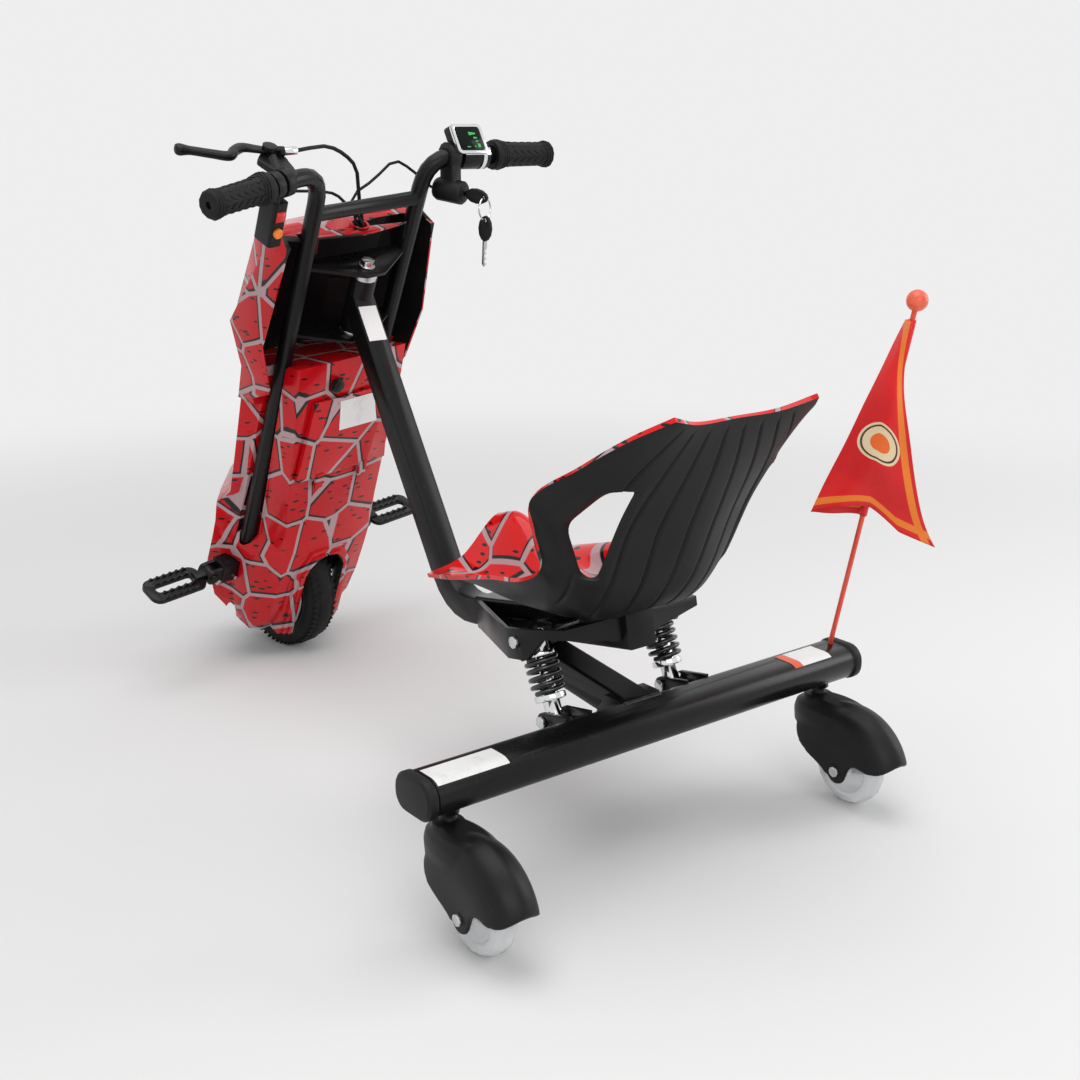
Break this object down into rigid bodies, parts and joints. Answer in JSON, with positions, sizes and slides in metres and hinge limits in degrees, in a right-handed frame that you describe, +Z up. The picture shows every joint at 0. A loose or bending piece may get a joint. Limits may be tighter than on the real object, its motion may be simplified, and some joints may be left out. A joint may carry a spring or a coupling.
{
  "type": "drift scooter",
  "caption": "Three-wheeled electric drift scooter with a bucket seat, a tall handlebar in a red fairing, a driven front wheel, a sprung rear beam on swivel casters, and a flag.",
  "frame": {"origin": "on the floor, under the middle of the whole object", "axes": "+Z up, +Y to the rear where the seat and casters are, +X to the rider's left hand"},
  "size_m": [0.657, 1.0738, 0.7768],
  "materials": {
    "frame_black": "satin black powder coat",
    "spring_black": "satin black",
    "plastic_black": "satin moulded",
    "seat_red": "glossy printed inside, black textured outside",
    "fairing_red": "glossy with a printed pattern",
    "rubber_black": "matt",
    "tyre_black": "matt with a fine tread",
    "chrome": "polished",
    "steel": "zinc plated",
    "clear_wheel": "milky translucent",
    "alloy": "satin",
    "switch_red": "glossy",
    "button_orange": "glossy",
    "pole_orange": "smooth",
    "ball_orange": "smooth",
    "flag_red": "woven polyester",
    "battery_blue": "shrink wrap",
    "screen_glass": "dark glass"
  },
  "bodies": {
    "frame": {"front_frame": "frame_black", "head_bearing_upper": "steel", "head_bearing_lower": "steel", "rear_frame": "frame_black", "shock_top_bolt_left": "chrome", "shock_top_bolt_right": "chrome", "swing_pivot_bolt": "steel", "seat_shell": "seat_red"},
    "steering": {"handlebar": "frame_black", "steering_bolt": "chrome", "front_axle": "steel", "fairing": "fairing_red", "battery_pack": "battery_blue", "motor_controller": "alloy", "charge_socket": "plastic_black", "peg_mount_left": "frame_black", "peg_mount_right": "frame_black", "grip_left": "rubber_black", "display_unit": "plastic_black", "display_screen": "screen_glass", "key_lock": "plastic_black", "brake_perch": "frame_black", "switch_box": "plastic_black", "brake_cable": "rubber_black", "lock_lead": "rubber_black", "switch_lead": "rubber_black"},
    "front_wheel": {"front_hub": "alloy", "front_tyre": "tyre_black"},
    "rear_arm": {"swing_arm": "frame_black", "beam_cap_left": "plastic_black", "beam_cap_right": "plastic_black", "shock_low_bolt_left": "chrome", "shock_low_bolt_right": "chrome", "flag_pole": "pole_orange", "flag_ball": "ball_orange", "flag_cloth": "flag_red"},
    "shock_upper_left": {"shock_upper_left": "chrome", "shock_spring_left": "spring_black"},
    "shock_upper_right": {"shock_upper_right": "chrome", "shock_spring_right": "spring_black"},
    "shock_lower_left": {"shock_lower_left": "chrome"},
    "shock_lower_right": {"shock_lower_right": "chrome"},
    "caster_left": {"caster_fork_left": "plastic_black", "caster_axle_left": "steel"},
    "caster_right": {"caster_fork_right": "plastic_black", "caster_axle_right": "steel"},
    "caster_wheel_left": {"caster_wheel_left": "clear_wheel"},
    "caster_wheel_right": {"caster_wheel_right": "clear_wheel"},
    "foot_peg_left": {"foot_peg_left": "frame_black"},
    "foot_peg_right": {"foot_peg_right": "frame_black"},
    "throttle": {"throttle_grip": "rubber_black"},
    "brake_lever": {"brake_lever": "frame_black"},
    "light_switch": {"light_switch": "switch_red"},
    "horn_button": {"horn_button": "button_orange"},
    "ignition_key": {"ignition_key": "plastic_black"},
    "key_ring": {"key_ring": "steel"},
    "spare_key": {"spare_key": "plastic_black"},
    "battery_cover": {"battery_cover": "fairing_red"},
    "charge_cap": {"charge_cap": "rubber_black"}
  },
  "joints": [
    {"name": "steering_turn", "type": "hinge", "parent": "frame", "child": "steering", "pos_m": [0.01618, -0.1855, 0.55006], "axis": [0, 0.4446, 0.8957], "range_deg": [-50, 30]},
    {"name": "front_wheel_spin", "type": "hinge", "parent": "steering", "child": "front_wheel", "pos_m": [0.0203, -0.43258, 0.10482], "axis": [0.9848, 0.1555, -0.0772], "continuous": true},
    {"name": "rear_arm_swing", "type": "hinge", "parent": "frame", "child": "rear_arm", "pos_m": [0.01618, 0.2025, 0.18006], "axis": [1, 0, 0], "range_deg": [0, 6], "stiffness_Nm_per_rad": 400, "springref_deg": -4.58},
    {"name": "shock_pivot_left", "type": "hinge", "parent": "frame", "child": "shock_upper_left", "pos_m": [0.10218, 0.3095, 0.24306], "axis": [1, 0, 0], "range_deg": [0, 5.5]},
    {"name": "shock_pivot_right", "type": "hinge", "parent": "frame", "child": "shock_upper_right", "pos_m": [-0.06982, 0.3095, 0.24306], "axis": [1, 0, 0], "range_deg": [0, 5.5]},
    {"name": "shock_slide_left", "type": "slide", "parent": "shock_upper_left", "child": "shock_lower_left", "axis": [0, -0.4163, 0.9092], "range_m": [0, 0.0132], "deforming": ["shock_spring_left"]},
    {"name": "shock_slide_right", "type": "slide", "parent": "shock_upper_right", "child": "shock_lower_right", "axis": [0, -0.4163, 0.9092], "range_m": [0, 0.0132], "deforming": ["shock_spring_right"]},
    {"name": "caster_swivel_left", "type": "hinge", "parent": "rear_arm", "child": "caster_left", "pos_m": [0.28618, 0.4075, 0.15706], "axis": [0, 0, 1], "continuous": true},
    {"name": "caster_swivel_right", "type": "hinge", "parent": "rear_arm", "child": "caster_right", "pos_m": [-0.25382, 0.4075, 0.15706], "axis": [0, 0, 1], "continuous": true},
    {"name": "caster_wheel_spin_left", "type": "hinge", "parent": "caster_left", "child": "caster_wheel_left", "pos_m": [0.28618, 0.4645, 0.04506], "axis": [1, 0, 0], "continuous": true},
    {"name": "caster_wheel_spin_right", "type": "hinge", "parent": "caster_right", "child": "caster_wheel_right", "pos_m": [-0.25382, 0.4645, 0.04506], "axis": [1, 0, 0], "continuous": true},
    {"name": "foot_peg_fold_left", "type": "hinge", "parent": "steering", "child": "foot_peg_left", "pos_m": [0.1617, -0.38538, 0.15136], "axis": [0.1736, -0.8821, 0.4379], "range_deg": [0, 90]},
    {"name": "foot_peg_fold_right", "type": "hinge", "parent": "steering", "child": "foot_peg_right", "pos_m": [-0.11996, -0.42987, 0.17344], "axis": [-0.1736, 0.8821, -0.4379], "range_deg": [0, 90]},
    {"name": "throttle_twist", "type": "hinge", "parent": "steering", "child": "throttle", "pos_m": [-0.2602, -0.13229, 0.73577], "axis": [-0.9999, 0.0131, -0.0065], "range_deg": [0, 60], "stiffness_Nm_per_rad": 0.4, "springref_deg": -8.59},
    {"name": "brake_lever_pull", "type": "hinge", "parent": "steering", "child": "brake_lever", "pos_m": [0.17293, -0.11556, 0.74756], "axis": [0, 0.4446, 0.8957], "range_deg": [0, 22], "stiffness_Nm_per_rad": 0.8, "springref_deg": -17.19},
    {"name": "light_switch_rock", "type": "hinge", "parent": "steering", "child": "light_switch", "pos_m": [0.17734, -0.0902, 0.67357], "axis": [0.9848, 0.1555, -0.0772], "range_deg": [-12, 12]},
    {"name": "horn_button_press", "type": "slide", "parent": "steering", "child": "horn_button", "axis": [0.1736, -0.8821, 0.4379], "range_m": [0, 0.0025], "stiffness_N_per_m": 400, "springref_m": -0.001},
    {"name": "ignition_key_turn", "type": "hinge", "parent": "steering", "child": "ignition_key", "pos_m": [-0.10992, -0.11509, 0.6886], "axis": [0.4262, -0.8916, 0.1531], "range_deg": [0, 90]},
    {"name": "key_ring_swing", "type": "hinge", "parent": "ignition_key", "child": "key_ring", "pos_m": [-0.12193, -0.08996, 0.68428], "axis": [-0.914, -0.3991, 0.0732], "range_deg": [-20, 20]},
    {"name": "spare_key_swing", "type": "hinge", "parent": "key_ring", "child": "spare_key", "pos_m": [-0.12417, -0.09014, 0.65537], "axis": [-0.914, -0.3991, 0.0732], "range_deg": [-20, 20]},
    {"name": "battery_cover_open", "type": "hinge", "parent": "steering", "child": "battery_cover", "pos_m": [0.011, -0.21702, 0.42057], "axis": [0.9848, 0.1555, -0.0772], "range_deg": [0, 75]},
    {"name": "charge_cap_open", "type": "hinge", "parent": "steering", "child": "charge_cap", "pos_m": [0.0408, -0.19807, 0.45024], "axis": [0.9848, 0.1555, -0.0772], "range_deg": [0, 100]}
  ],
  "couplings": [
    {"joint": "shock_pivot_left", "follows": "rear_arm_swing", "ratio": 0.895},
    {"joint": "shock_pivot_right", "follows": "rear_arm_swing", "ratio": 0.895},
    {"joint": "shock_slide_left", "follows": "rear_arm_swing", "m_per_rad": 0.12385},
    {"joint": "shock_slide_right", "follows": "rear_arm_swing", "m_per_rad": 0.12385}
  ]
}
